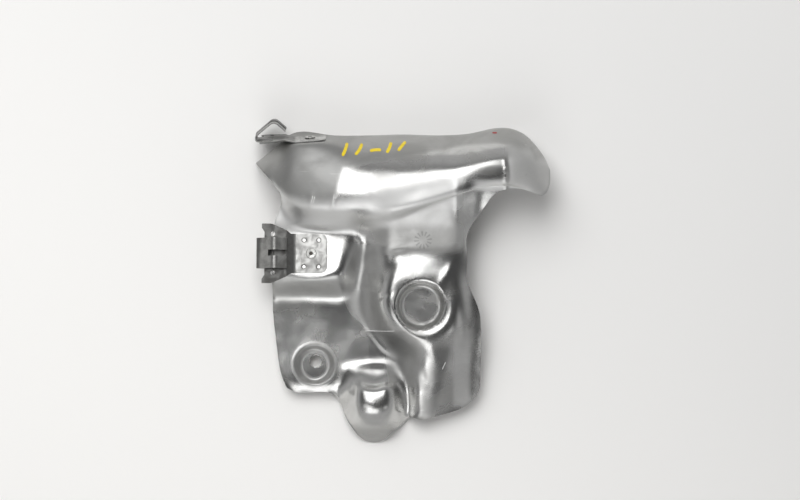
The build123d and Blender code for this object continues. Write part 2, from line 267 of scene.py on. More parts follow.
# Where the painted highlight on the clips' plates begins along X and on their arms' tops along Z, in metres
LIT_PLATE = (-0.082, -0.079)
LIT_ARM_TOP = (0.031, 0.034)
LIT_ARM_TOP_SHARE = 0.7

# Tone of stained plating and of thin paint, as a share of the clean tone
STAINED_PLATING = 0.5
THIN_PAINT = 0.72

# Angles in degrees above which an edge is shaded sharp, or rounded on the clips
SHARP_SHEET = 40
SHARP_SOLID = 32
SHARP_MARK = 60
SHARP_FLAT = 30
CLIP_EDGE_ANGLE = 40
CLIP_EDGE_SEGMENTS = 2

# Distance in metres within which a solid's points are merged
MERGE_DISTANCE = 0.000002

# Softboxes in metres: setting that holds the power, place, target and size
SOFTBOXES = {
    "top_softbox": ("key", (-0.15, 0.77, 1.62), (0, 0.02, 0.02), (1.0, 1.0)),
    "left_softbox": ("side", (-0.38, 0.2, 1.7), (0, 0.02, 0.02), (0.36, 0.36)),
    "front_softbox": ("fill", (-0.25, -1.48, 1.4), (0, 0, 0), (1.2, 1.0)),
    "ceiling_light": ("ceiling", (-0.62, -0.78, 1.6), (0, 0, 0), (0.8, 0.7)),
    "right_strip": ("right", (0.95, -0.95, 1.4), (0, 0, 0), (0.4, 0.5)),
    "table_light": ("table", (-0.5, 1.1, 1.7), (0, 0, 0), (1.5, 1.5)),
}
TABLE_HALF = 4.0
# Painted light on the table: the way and the run along which its colour grows lighter
TABLE_LIGHT_WAY = (-0.6, -0.8, 0)
TABLE_LIGHT_RUN = (-0.3, 0.3)
TABLE_ROUGHNESS = 0.7
TABLE_SHINE = 0.2
SKY_RUN = (0.3, 0.85)
CAMERA_PLACE = (-0.0015, 0.0236)
SENSOR_WIDTH = 36.0


def tone(name, description, default):
    """A colour setting."""
    return FloatVectorProperty(name=name, description=description, default=default, subtype="COLOR")


def length(name, description, default):
    """A length setting, in metres."""
    return FloatProperty(name=name, description=description, default=default, unit="LENGTH")


def power(name, description, default):
    """A setting for the power of a light, in watts."""
    return FloatProperty(name=name, description=description, default=default, unit="POWER")


def count(name, description, default):
    """A setting for a number of things."""
    return IntProperty(name=name, description=description, default=default)


class SheetSettings(bpy.types.PropertyGroup):
    """Pressed panel."""

    thickness: length("Thickness", "Thickness of the sheet", 0.0008)
    columns: count("Columns", "Strips of the mesh from the left edge to the right", 172)
    wall_rows: count("Wall rows", "Strips of the mesh up the back wall", 52)
    front_rows: count("Front rows", "Strips from the crest to the front edge", 168)
    waviness: length("Waviness", "Height of the handling waves", 0.00016)
    bright: tone("Bright", "Clean aluminised steel", (0.66, 0.66, 0.65))
    # Tone of real stains; the darker areas of painted shade take the flare tone below
    dull: tone("Dull", "Stained aluminised steel", (0.42, 0.415, 0.40))
    # The next three tones paint light: the first darkens the back slope, the valleys and the recess walls as
    # painted shade, the second darkens patches as painted shade, the third brightens the crest, slopes and
    # flap as a painted sheen
    matte: tone("Matte", "Matte steel, darkened as painted shade on the back, in the valleys and on the recess walls", (0.40, 0.40, 0.39))
    flare: tone("Flare", "Darker steel: painted shade in patches, and darker at the trough's left end and the spout's tip", (0.30, 0.30, 0.295))
    satin: tone("Satin", "Painted sheen, brighter than the clean steel, on the crest, the slopes and the flap", (0.85, 0.85, 0.84))
    speck: tone("Speck", "Dark specks", (0.16, 0.155, 0.15))
    scratch: tone("Scratch", "Fine bright scratches", (0.82, 0.82, 0.81))
    dial: tone("Dial", "Dirt in the stamped dial", (0.25, 0.25, 0.245))
    rim: tone("Rim", "Cut edge", (0.30, 0.295, 0.285))


class ClipSettings(bpy.types.PropertyGroup):
    """Spring clips and their rivets."""

    # The dark clip tone and the lighter plate tone are shaded and lit copies of one steel: painted shade and
    # painted highlight
    steel: tone("Clip steel", "Spring steel of the clips, a dark tone that paints the shaded parts", (0.17, 0.17, 0.165))
    plate: tone("Plate", "Painted highlight on the clips' plates and the tops of their arms", (0.60, 0.60, 0.585))
    # Also paints shade in the clips' corners and the rivets' hollow ends
    grime_and_shade: tone("Grime", "Grime, and painted shade in the clips' corners and in the rivets' hollow ends", (0.06, 0.055, 0.05))
    scratch: tone("Scratch", "Fine bright scratches", (0.6, 0.6, 0.58))
    rivet: tone("Rivet", "Plated rivet", (0.56, 0.56, 0.54))
    edge: length("Edge", "Rounding of the clips' edges", 0.00015)


class PaintSettings(bpy.types.PropertyGroup):
    """Marker dashes, check dot and scratches."""

    yellow: tone("Marker", "Yellow paint marker", (0.80, 0.60, 0.03))
    red: tone("Dot", "Red check dot", (0.35, 0.02, 0.02))
    bare: tone("Scratch", "Bare metal in a scratch", (0.72, 0.72, 0.71))
    tip: length("Marker tip", "Width of a marker dash", 0.0024)
    dot: length("Dot width", "Width of the check dot", 0.00336)
    scratch: length("Scratch width", "Width of a bright scratch", 0.0006)
    coat: length("Coat", "Thickness of the paint", 0.00005)


class StageSettings(bpy.types.PropertyGroup):
    """Floor, lights and camera."""

    # The table's two tones paint light: lighter towards the front left
    floor: tone("Floor", "Pale table top, right and back", (0.80, 0.795, 0.785))
    near: tone("Floor near", "Pale table top, left and front, lighter as painted light", (0.93, 0.92, 0.90))
    surround: tone("Surround", "Walls of the room", (0.45, 0.45, 0.45))
    overhead: tone("Overhead", "Shade above the part", (0.06, 0.06, 0.06))
    key: power("Key", "Power of the softbox behind the part", 8.2)
    side: power("Side", "Power of the softbox at the left", 1.5)
    fill: power("Fill", "Power of the front softbox", 6.5)
    ceiling: power("Ceiling", "Power of the ceiling light", 2.0)
    right: power("Right", "Power of the strip light at the right", 0.4)
    table: power("Table", "Power of the light on the table", 24.0)
    distance: length("Distance", "Camera above the table", 2.2)
    picture: length("Picture width", "Width of the table in the picture", 0.608)


def ease(t):
    """Smooth step from 0 to 1."""
    t = np.clip(t, 0, 1)
    return t * t * (3 - 2 * t)


def window(at, low, low_run, high, high_run):
    """1 between two limits and 0 outside them, with a smooth step inside each limit."""
    return ease((at - low) / low_run) * ease((high - at) / high_run)


def curve(points, at):
    """Values at places on the smooth curve through the points, which are (place, value)."""
    place, value = np.array(points, float).T
    slope = np.empty_like(value)
    slope[1:-1] = (value[2:] - value[:-2]) / (place[2:] - place[:-2])
    slope[0] = (value[1] - value[0]) / (place[1] - place[0])
    slope[-1] = (value[-1] - value[-2]) / (place[-1] - place[-2])
    i = np.clip(np.searchsorted(place, at, side="right") - 1, 0, len(place) - 2)
    span = place[i + 1] - place[i]
    t = np.clip((at - place[i]) / span, 0, 1)
    ends = (2 * t**3 - 3 * t**2 + 1) * value[i] + (3 * t**2 - 2 * t**3) * value[i + 1]
    return ends + span * ((t**3 - 2 * t**2 + t) * slope[i] + (t**3 - t**2) * slope[i + 1])


def line_points(points, shares):
    """Points at shares of the length of the smooth line through the guide points."""
    guide = np.array([(*p, 0)[:3] for p in points], float)
    step = np.linalg.norm(np.diff(guide, axis=0), axis=1)
    place = np.concatenate([[0], np.cumsum(step)])
    rise = np.diff(guide, axis=0) / step[:, None]
    total = len(guide)
    system = np.eye(total)
    right = np.zeros((total, 3))
    for k in range(1, total - 1):
        system[k, k - 1 : k + 2] = step[k], 2 * (step[k - 1] + step[k]), step[k - 1]
        right[k] = 3 * (step[k] * rise[k - 1] + step[k - 1] * rise[k])
    right[0] = rise[0] + (rise[0] - rise[1]) * step[0] / (step[0] + step[1])
    right[-1] = rise[-1] + (rise[-1] - rise[-2]) * step[-1] / (step[-1] + step[-2])
    slope = np.linalg.solve(system, right)
    fine = np.linspace(0, place[-1], LINE_STEPS * total)
    i = np.clip(np.searchsorted(place, fine, side="right") - 1, 0, total - 2)
    t = ((fine - place[i]) / step[i])[:, None]
    span = step[i][:, None]
    path = (2 * t**3 - 3 * t**2 + 1) * guide[i] + (3 * t**2 - 2 * t**3) * guide[i + 1]
    path += span * ((t**3 - 2 * t**2 + t) * slope[i] + (t**3 - t**2) * slope[i + 1])
    run = np.concatenate([[0], np.cumsum(np.linalg.norm(np.diff(path, axis=0), axis=1))])
    at = np.asarray(shares) * run[-1]
    return np.stack([np.interp(at, run, path[:, k]) for k in range(3)], axis=1)


def upper(a, b, rounding):
    """The higher of two heights, with a rounded valley where they cross."""
    overlap = np.maximum(rounding - np.abs(a - b), 0)
    return np.maximum(a, b) + overlap**2 / (4 * rounding)


def front_body(x, y):
    """Height of the forms in front of the trough: body with its boss, clip pad and spout on the flat."""
    flat = curve(FLAT_HEIGHT, y)
    turn = curve(BODY_TURN, y)
    body = (curve(BODY_HEIGHT, y) - flat) * ease((x - curve(BODY_FOOT, y)) / curve(BODY_RISE, y))
    body -= curve(BODY_FALL, y) * ease((x - turn) / (BODY_SIDE - turn))
    reach = np.hypot(x - BOSS_CENTRE[0], y - BOSS_CENTRE[1])
    body += (BOSS_HEIGHT - flat - body) * ease((BOSS_FLAT + BOSS_RUN - reach) / BOSS_RUN)
    right = PAD_RIGHT + PAD_SKEW * (y - PAD_CENTRE[1])
    on_pad = ease((right - x) / PAD_RUN) * ease((y - PAD_FRONT) / PAD_RUN)
    plane = PAD_HEIGHT + PAD_SLOPE[0] * (x - PAD_CENTRE[0]) + PAD_SLOPE[1] * (y - PAD_CENTRE[1])
    pad = (plane - flat) * on_pad
    across = (x - SPOUT_CENTRE[0]) / SPOUT_HALF_WIDTH
    along = np.maximum(SPOUT_CENTRE[1] - y, 0) / SPOUT_REACH
    dome = SPOUT_HEIGHT * (1 - np.abs(across) ** SPOUT_POWER - along**2)
    start = ease((y - SPOUT_START + SPOUT_RUN) / SPOUT_RUN)
    spout = upper(dome - (dome + SPOUT_HEIGHT / 2) * start - flat, 0, VALLEY_RADIUS)
    return flat + np.sqrt(body**2 + pad**2 + spout**2)


def recess(x, y, dish):
    """Depth of a round recess, with the raised ring around its rim."""
    (cx, cy), floor, rim, depth = dish
    reach = np.hypot(x - cx, y - cy)
    ring = np.exp(-(((reach - rim - RING_WIDTH / 2) / RING_WIDTH) ** 2)) * RING_HEIGHT
    return depth * ease((rim + RECESS_ROUND - reach) / (rim + 2 * RECESS_ROUND - floor)) - ring


def boss_lip(x, y):
    """Depth of the wide lip that falls to the round recess on its front right side."""
    dx, dy = x - BOSS_CENTRE[0], y - BOSS_CENTRE[1]
    side = np.clip(np.cos(np.arctan2(dy, dx) - BOSS_LIP_TURN), 0, 1)
    fall = np.clip((BOSS_LIP_OUTER - np.hypot(dx, dy)) / BOSS_LIP_WIDTH, 0, 1)
    return BOSS_LIP_DEPTH * side * fall * (BOSS_LIP_BULGE + (1 - BOSS_LIP_BULGE) * fall)


def flatten(points):
    """Moves points of the back wall onto the upper clip's pad, near the pad, at the same height."""
    along = np.array([-math.cos(WALL_PAD_TURN), -math.sin(WALL_PAD_TURN), 0])
    level = np.array([-math.sin(WALL_PAD_TURN), math.cos(WALL_PAD_TURN), 0])
    outward = level * math.cos(WALL_PAD_LEAN) + np.array([0, 0, math.sin(WALL_PAD_LEAN)])
    offset = points - np.array(WALL_PAD_CENTRE)
    side, up, out = offset @ along, offset @ np.cross(outward, along), offset @ outward
    half_along, half_up = WALL_PAD_HALF
    run = np.where(side > 0, WALL_PAD_RUN_LEFT, WALL_PAD_RUN_RIGHT)
    weight = ease((half_along + run - np.abs(side)) / run)
    weight *= ease((half_up + WALL_PAD_RUN_UP - up) / WALL_PAD_RUN_UP)
    weight *= ease((half_up + WALL_PAD_RUN_DOWN + up) / WALL_PAD_RUN_DOWN)
    return points - level * (out * weight / math.cos(WALL_PAD_LEAN))[..., None]


def off_pads(points):
    """0 on the two clips' pads and 1 away from them."""
    pad = np.hypot(points[..., 0] - PAD_CENTRE[0], points[..., 1] - PAD_CENTRE[1])
    wall_pad = np.linalg.norm(points - np.array(WALL_PAD_CENTRE), axis=2)
    return ease((np.minimum(pad, wall_pad) - PAD_KEEP) / PAD_KEEP_RUN)


def soften(points):
    """Rounds the bends of a grid of points, less so on its border and not on the pads."""
    free = off_pads(points)[..., None] / 4
    points = points.copy()
    for step in range(SOFT_ROUNDS):
        edge = slice(None) if step < EDGE_ROUNDS else slice(1, -1)
        for axis, inside in ((0, (slice(1, -1), edge)), (1, (edge, slice(1, -1)))):
            bend = np.roll(points, 1, axis) + np.roll(points, -1, axis) - 2 * points
            points[inside] += bend[inside] * free[inside]
    return points


def skin_points(columns, wall_rows, front_rows):
    """Points of the outer skin in millimetres, by column and by row from the wall's foot to the front."""
    u = np.linspace(0, 1, columns + 1)
    foot, crest, front = (line_points(guide, u) for guide in (BACK_FOOT, CREST, FRONT_EDGE))
    rows = []
    rise = crest[:, 2] - foot[:, 2] - WALL_SKIRT
    skirt = WALL_SKIRT / (WALL_SKIRT + math.pi / 2 * rise)
    shoulder = curve(WALL_SHOULDER, u)
    for v in np.arange(wall_rows) / wall_rows:
        angle = math.pi / 2 * np.minimum((1 - v) / (1 - skirt), 1) ** ((1 + 1 / shoulder) / 2)
        points = crest + (foot - crest) * (np.sin(angle) ** shoulder)[:, None]
        points[:, 2] = foot[:, 2] + WALL_SKIRT * (1 - np.maximum(1 - v / skirt, 0)) + rise * np.cos(angle)
        rows.append(flatten(points))
    v = np.linspace(0, 1, front_rows + 1)
    left, right = line_points(LEFT_EDGE, v), line_points(RIGHT_EDGE, v)
    corners = (crest[0], crest[-1], front[0], front[-1])
    radius = curve(FLANK_RADIUS, u)
    for k, share in enumerate(v):
        sides = np.outer(1 - u, left[k]) + np.outer(u, right[k])
        ends = crest * (1 - share) + front * share
        back = np.outer(1 - u, corners[0]) + np.outer(u, corners[1])
        fore = np.outer(1 - u, corners[2]) + np.outer(u, corners[3])
        points = sides + ends - back * (1 - share) - fore * share
        x, y = points[:, 0], points[:, 1]
        across = np.hypot(x - crest[:, 0], y - crest[:, 1])
        straight = np.maximum(across - FLANK_SLOPE * radius, 0)
        flank = crest[:, 2] - (across - straight) ** 2 / (2 * radius) - FLANK_SLOPE * straight
        body = upper(flank, front_body(x, y), FLANK_VALLEY)
        points[:, 2] = flank + (body - flank) * ease(across / CREST_RUN)
        rows.append(points)
    skin = soften(np.stack(rows, axis=1))
    x, y = skin[..., 0], skin[..., 1]
    skin[..., 2] -= recess(x, y, BOLT_DISH) + np.maximum(recess(x, y, BOSS_RECESS), boss_lip(x, y))
    return skin


def outward_normals(points):
    """Unit normals of a grid of points, on the side that faces up."""
    along = np.gradient(points, axis=0)
    across = -np.gradient(points, axis=1)
    normal = np.cross(along, across)
    return normal / np.linalg.norm(normal, axis=2, keepdims=True)


def handling(points, waviness):
    """Height of the waves, kinks and dents that handling leaves in a thin sheet, in millimetres."""
    height = np.zeros(points.shape[:2])
    for (cx, cy), (long, wide), turn, rise in KINKS:
        angle = math.radians(turn)
        dx, dy = points[..., 0] - cx, points[..., 1] - cy
        a = (dx * math.cos(angle) + dy * math.sin(angle)) / long
        b = (dy * math.cos(angle) - dx * math.sin(angle)) / wide
        height += rise * np.exp(-(a**2) - b**2)
    wave = np.zeros(points.shape[0] * points.shape[1])
    for size, share, shift in WAVES:
        wave += [share * noise.noise(Vector(p / size + shift)) for p in points.reshape(-1, 3)]
    return height + wave.reshape(height.shape) * waviness * MM * off_pads(points)


def finish(x, y):
    """Weights of the skin at places in plan, each from 0 to 1: rougher areas with painted shade, rougher
    areas with a painted sheen, and darker areas that are mostly painted shade.
    """
    at = {}
    for name, (slant, along, across) in AREAS.items():
        at[name] = window(x - slant * y, *along) * window(y, *across)
    crease = np.interp(x, *CREASE)
    below_crest = ease((np.interp(x, *np.array(CREST).T[:2]) + CREST_LAP - y) / CREST_LAP_RUN)
    matte = [at[name] * strength for name, strength in MATTE_AND_SHADE.items()]
    # Painted shade: the back wall above the crease, the valley along the body's foot and the recess walls
    # take the darker, rougher tone
    matte.append(ease((y - crease) / CREASE_RUN + 0.5))
    matte.append(window(x - curve(BODY_FOOT, y), *FOOT_ACROSS) * window(y, *FOOT_ALONG) * MATTE_AND_SHADE_FOOT)
    for ((cx, cy), floor, rim, depth), end in DISH_WALLS:
        reach = np.hypot(x - cx, y - cy)
        matte.append(window(reach, floor - DISH_WALL_START, DISH_WALL_RUN, end, DISH_WALL_RUN) * MATTE_AND_SHADE_DISH)
    # Painted sheen: these areas take a brighter, rougher tone
    satin = [at[name] * strength for name, strength in SATIN_AND_SHEEN.items()]
    satin += [at["roof"] * below_crest, at["ledge"] * below_crest]
    satin.append(at["flap"] * ease((crease + CREASE_RUN - y) / FLAP_RUN) * SATIN_AND_SHEEN_FLAP)
    # Painted shade in the shaded strip, on the right side and on the flat patch; darker also at the trough's
    # left end and the spout's tip
    dull = [at[name] * strength for name, strength in DULL_AND_SHADE.items()]
    return {"matte": np.max(matte, axis=0), "satin": np.max(satin, axis=0), "dull": np.max(dull, axis=0)}


def smooth_mesh(name, vertices, faces, sharp):
    """A new mesh object in metres, smooth except at sharp edges."""
    mesh = bpy.data.meshes.new(name)
    mesh.from_pydata(vertices, [], faces)
    mesh.validate()
    mesh.polygons.foreach_set("use_smooth", [True] * len(mesh.polygons))
    mesh.set_sharp_from_angle(angle=math.radians(sharp))
    piece = bpy.data.objects.new(name, mesh)
    bpy.context.scene.collection.objects.link(piece)
    return piece


def node(tree, kind, place, **values):
    """Adds a shader node and sets its inputs by name and its own settings."""
    new = tree.nodes.new(kind)
    new.location = place
    for key, value in values.items():
        label = key.replace("_", " ").title()
        if hasattr(new, key):
            setattr(new, key, value)
        else:
            new.inputs[label].default_value = value
    return new


def ramp(tree, place, source, low, high):
    """A smooth step of a value between two limits."""
    new = node(tree, "ShaderNodeMapRange", place, interpolation_type="SMOOTHSTEP")
    new.inputs["From Min"].default_value = low
    new.inputs["From Max"].default_value = high
    tree.links.new(source, new.inputs["Value"])
    return new.outputs["Result"]


def math_node(tree, place, operation, a, b):
    """One sum on two values or sockets."""
    new = node(tree, "ShaderNodeMath", place, operation=operation)
    for socket, value in zip(new.inputs, (a, b)):
        if isinstance(value, (int, float)):
            socket.default_value = value
        else:
            tree.links.new(value, socket)
    return new.outputs[0]


def mix_colour(tree, place, factor, a, b):
    """A mix of two colours, each a value or a socket."""
    new = node(tree, "ShaderNodeMix", place, data_type="RGBA")
    for socket, value in zip((new.inputs[0], new.inputs[6], new.inputs[7]), (factor, a, b)):
        if isinstance(value, bpy.types.NodeSocket):
            tree.links.new(value, socket)
        elif isinstance(value, (int, float)):
            socket.default_value = value
        else:
            socket.default_value = (*value, 1)
    return new.outputs[2]


def overlay(tree, place, amount, strength, under, over):
    """Lays one colour over another where an amount is high."""
    factor = math_node(tree, (place[0] - 200, place[1] - 200), "MULTIPLY", amount, strength)
    return mix_colour(tree, place, factor, under, over)


def roughness(tree, place, stain, spread, base):
    """A base roughness that grows with the stains."""
    total = math_node(tree, place, "MULTIPLY_ADD", stain, spread)
    total.node.inputs[2].default_value = base
    return total


def wear_node(tree, place, stain_size, scratch_amount):
    """The shared wear, with the size of its stains in metres and the strength of its scratches."""
    wear = node(tree, "ShaderNodeGroup", place, node_tree=wear_group())
    wear.inputs["Stain size"].default_value = stain_size
    wear.inputs["Scratch amount"].default_value = scratch_amount
    return wear.outputs


def hollows(tree, place, distance, open_limit, closed_limit):
    """How deep a place lies in a corner or a hollow, from 0 to 1."""
    shade = node(tree, "ShaderNodeAmbientOcclusion", place, inside=False)
    shade.inputs["Distance"].default_value = distance
    return ramp(tree, (place[0] + 250, place[1]), shade.outputs["AO"], open_limit, closed_limit)


def grain_bump(tree, shader, height, strength):
    """Fine relief in the shading."""
    bump = node(tree, "ShaderNodeBump", (300, -300), strength=strength, distance=GRAIN_DEPTH)
    tree.links.new(height, bump.inputs["Height"])
    tree.links.new(bump.outputs["Normal"], shader.inputs["Normal"])


def wear_group():
    """Shared wear of bare metal: stains, streaks, scratches and grain, in metres of the object."""
    if "Metal wear" in bpy.data.node_groups:
        return bpy.data.node_groups["Metal wear"]
    tree = bpy.data.node_groups.new("Metal wear", "ShaderNodeTree")
    for label, default in (("Stain size", 0.03), ("Scratch amount", 0.5)):
        socket = tree.interface.new_socket(label, in_out="INPUT", socket_type="NodeSocketFloat")
        socket.default_value = default
    for label in ("Stain", "Speck", "Scratch", "Grain"):
        tree.interface.new_socket(label, in_out="OUTPUT", socket_type="NodeSocketFloat")
    inputs = node(tree, "NodeGroupInput", (-1200, 0))
    outputs = node(tree, "NodeGroupOutput", (600, 0))
    place = node(tree, "ShaderNodeTexCoord", (-1200, 300)).outputs["Object"]
    scale = math_node(tree, (-1000, 100), "DIVIDE", 1.0, inputs.outputs["Stain size"])
    stain = node(tree, "ShaderNodeTexNoise", (-800, 300), detail=5.0, roughness=0.62, distortion=0.6)
    tree.links.new(place, stain.inputs["Vector"])
    tree.links.new(scale, stain.inputs["Scale"])
    tree.links.new(ramp(tree, (-500, 300), stain.outputs["Fac"], *STAIN_LIMITS), outputs.inputs["Stain"])
    speck = node(tree, "ShaderNodeTexNoise", (-800, 50), scale=SPECK_SCALE, detail=3.0, roughness=0.7)
    tree.links.new(place, speck.inputs["Vector"])
    tree.links.new(ramp(tree, (-500, 50), speck.outputs["Fac"], *SPECK_LIMITS), outputs.inputs["Speck"])
    lines = []
    for k, turn in enumerate(SCRATCH_TURNS):
        turned = node(tree, "ShaderNodeMapping", (-1000, -200 - 250 * k))
        turned.inputs["Rotation"].default_value = (0, 0, turn)
        turned.inputs["Scale"].default_value = SCRATCH_SCALE
        tree.links.new(place, turned.inputs["Vector"])
        streak = node(tree, "ShaderNodeTexNoise", (-800, -200 - 250 * k), scale=1.0, detail=2.0)
        tree.links.new(turned.outputs["Vector"], streak.inputs["Vector"])
        lines.append(ramp(tree, (-500, -200 - 250 * k), streak.outputs["Fac"], *SCRATCH_LIMITS))
    both = math_node(tree, (-250, -300), "MAXIMUM", *lines)
    scratch = math_node(tree, (-50, -300), "MULTIPLY", both, inputs.outputs["Scratch amount"])
    tree.links.new(scratch, outputs.inputs["Scratch"])
    grain = node(tree, "ShaderNodeTexNoise", (-800, -750), scale=GRAIN_SCALE, detail=2.0)
    tree.links.new(place, grain.inputs["Vector"])
    tree.links.new(grain.outputs["Fac"], outputs.inputs["Grain"])
    return tree


def new_material(name):
    """An empty node material with its output, and its Principled shader."""
    material = bpy.data.materials.new(name)
    material.use_nodes = True
    tree = material.node_tree
    tree.nodes.clear()
    shader = node(tree, "ShaderNodeBsdfPrincipled", (600, 0))
    output = node(tree, "ShaderNodeOutputMaterial", (900, 0))
    tree.links.new(shader.outputs["BSDF"], output.inputs["Surface"])
    return material, tree, shader


def date_dial(tree, place):
    """Mask of the stamped dial: short spokes between two radii."""
    centre, inner, outer, soft = DIAL
    left, top = place
    where = node(tree, "ShaderNodeTexCoord", place).outputs["Object"]
    moved = node(tree, "ShaderNodeVectorMath", (left + 200, top), operation="SUBTRACT")
    moved.inputs[1].default_value = (*centre, 0)
    tree.links.new(where, moved.inputs[0])
    parts = node(tree, "ShaderNodeSeparateXYZ", (left + 400, top))
    tree.links.new(moved.outputs[0], parts.inputs[0])
    x, y = parts.outputs["X"], parts.outputs["Y"]
    square_x = math_node(tree, (left + 500, top + 100), "MULTIPLY", x, x)
    square_y = math_node(tree, (left + 500, top - 100), "MULTIPLY", y, y)
    square = math_node(tree, (left + 600, top), "ADD", square_x, square_y)
    reach = math_node(tree, (left + 700, top), "SQRT", square, 0)
    angle = math_node(tree, (left + 700, top - 200), "ARCTAN2", y, x)
    turns = math_node(tree, (left + 800, top - 200), "MULTIPLY", angle, DIAL_SPOKES)
    spokes = math_node(tree, (left + 900, top - 200), "SINE", turns, 0)
    outside = ramp(tree, (left + 900, top), reach, inner, inner + soft)
    inside = ramp(tree, (left + 900, top + 150), reach, outer + soft, outer)
    band = math_node(tree, (left + 1000, top), "MULTIPLY", outside, inside)
    marks = ramp(tree, (left + 1000, top - 200), spokes, *DIAL_SPOKE_LIMITS)
    return math_node(tree, (left + 1100, top), "MULTIPLY", marks, band)


def sheet_material(settings):
    """Aluminised steel, stained by heat and handling, with painted shade on the back, in the valleys and in
    patches, and a painted sheen on the crest, the slopes and the flap.
    """
    material, tree, shader = new_material("aluminised_sheet")
    wear = wear_node(tree, (-900, 200), stain_size=0.034, scratch_amount=0.6)
    matte, satin, dull, rim = (
        node(tree, "ShaderNodeAttribute", (-900, -150 - 100 * k), attribute_name=name).outputs["Fac"]
        for k, name in enumerate(("matte", "satin", "dull", "rim"))
    )
    dial = date_dial(tree, (-2200, -600))
    colour = settings.bright
    # Stains, then painted shade in the second and third overlays, a painted sheen in the fourth, then specks,
    # scratches, dial and cut edge
    for k, (amount, strength, over) in enumerate((
        (wear["Stain"], 0.55, settings.dull),
        (matte, 0.65, settings.matte),
        (dull, 1.0, settings.flare),
        (satin, 0.95, settings.satin),
        (wear["Speck"], 0.25, settings.speck),
        (wear["Scratch"], 0.6, settings.scratch),
        (dial, 0.5, settings.dial),
        (rim, 0.35, settings.rim),
    )):
        colour = overlay(tree, (-400 + 120 * k, 300), amount, strength, colour, over)
    tree.links.new(colour, shader.inputs["Base Color"])
    rough = roughness(tree, (-400, -100), wear["Stain"], spread=0.10, base=0.21)
    for k, finish_amount in enumerate((matte, satin)):
        more = math_node(tree, (-400, -250 - 150 * k), "MULTIPLY", finish_amount, FINISH_ROUGHNESS)
        rough = math_node(tree, (-200 + 100 * k, -100), "ADD", rough, more)
    tree.links.new(rough, shader.inputs["Roughness"])
    shader.inputs["Metallic"].default_value = 1.0
    stamped = math_node(tree, (-200, -300), "MULTIPLY", dial, DIAL_DEPTH)
    grain_bump(tree, shader, math_node(tree, (0, -300), "ADD", wear["Grain"], stamped), 0.06)
    return material


def clip_material(settings):
    """Spring steel, oiled and stained, with painted shade in its corners, and lit and shaded copies of the
    steel: a painted highlight on the plates and arm tops, a dark tone elsewhere.
    """
    material, tree, shader = new_material("spring_steel")
    wear = wear_node(tree, (-900, 200), stain_size=0.008, scratch_amount=0.4)
    # Painted shade: corners darken where ambient occlusion finds a hollow
    corner_shade = hollows(tree, (-900, -150), distance=0.004, open_limit=0.62, closed_limit=0.15)
    where = node(tree, "ShaderNodeSeparateXYZ", (-1100, 500))
    tree.links.new(node(tree, "ShaderNodeTexCoord", (-1300, 500)).outputs["Object"], where.inputs[0])
    # Painted light: the plates and the arms' tops take the lighter tone, the ears and the rest the dark one
    plate = ramp(tree, (-900, 500), where.outputs["X"], *LIT_PLATE)
    arm = ramp(tree, (-900, 650), where.outputs["Z"], *LIT_ARM_TOP)
    arm = math_node(tree, (-700, 600), "MULTIPLY", arm, LIT_ARM_TOP_SHARE)
    lit_parts = math_node(tree, (-600, 500), "MAXIMUM", plate, arm)
    colour = mix_colour(tree, (-500, 450), lit_parts, settings.steel, settings.plate)
    colour = overlay(tree, (-300, 250), wear["Stain"], 0.4, colour, settings.grime_and_shade)
    colour = overlay(tree, (-100, 250), wear["Scratch"], 0.5, colour, settings.scratch)
    colour = overlay(tree, (100, 250), corner_shade, 0.6, colour, settings.grime_and_shade)
    tree.links.new(colour, shader.inputs["Base Color"])
    rough = roughness(tree, (-100, -50), wear["Stain"], spread=0.16, base=0.34)
    tree.links.new(rough, shader.inputs["Roughness"])
    shader.inputs["Metallic"].default_value = 1.0
    grain_bump(tree, shader, wear["Grain"], 0.15)
    return material


def rivet_material(settings):
    """Plated rivet with stained marks, and painted shade in its hollow end."""
    material, tree, shader = new_material("plated_rivet")
    wear = wear_node(tree, (-600, 200), stain_size=0.004, scratch_amount=0.3)
    stained = [STAINED_PLATING * c for c in settings.rivet]
    colour = overlay(tree, (-100, 250), wear["Stain"], 0.3, settings.rivet, stained)
    # Painted shade darkens the rivet's hollow end, found by ambient occlusion
    cup = hollows(tree, (-600, -150), distance=0.0025, open_limit=0.8, closed_limit=0.45)
    colour = mix_colour(tree, (100, 250), cup, colour, settings.grime_and_shade)
    tree.links.new(colour, shader.inputs["Base Color"])
    rough = roughness(tree, (-100, 0), wear["Stain"], spread=0.2, base=0.26)
    tree.links.new(rough, shader.inputs["Roughness"])
    shader.inputs["Metallic"].default_value = 1.0
    return material


def paint_material(name, colour):
    """Thin marker paint, patchy where it ran dry."""
    material, tree, shader = new_material(name)
    wear = wear_node(tree, (-600, 200), stain_size=0.004, scratch_amount=0.5)
    thin = [THIN_PAINT * c for c in colour]
    mixed = overlay(tree, (-100, 250), wear["Stain"], 0.5, colour, thin)
    tree.links.new(mixed, shader.inputs["Base Color"])
    rough = roughness(tree, (-100, 0), wear["Stain"], spread=0.15, base=0.45)
    tree.links.new(rough, shader.inputs["Roughness"])
    return material


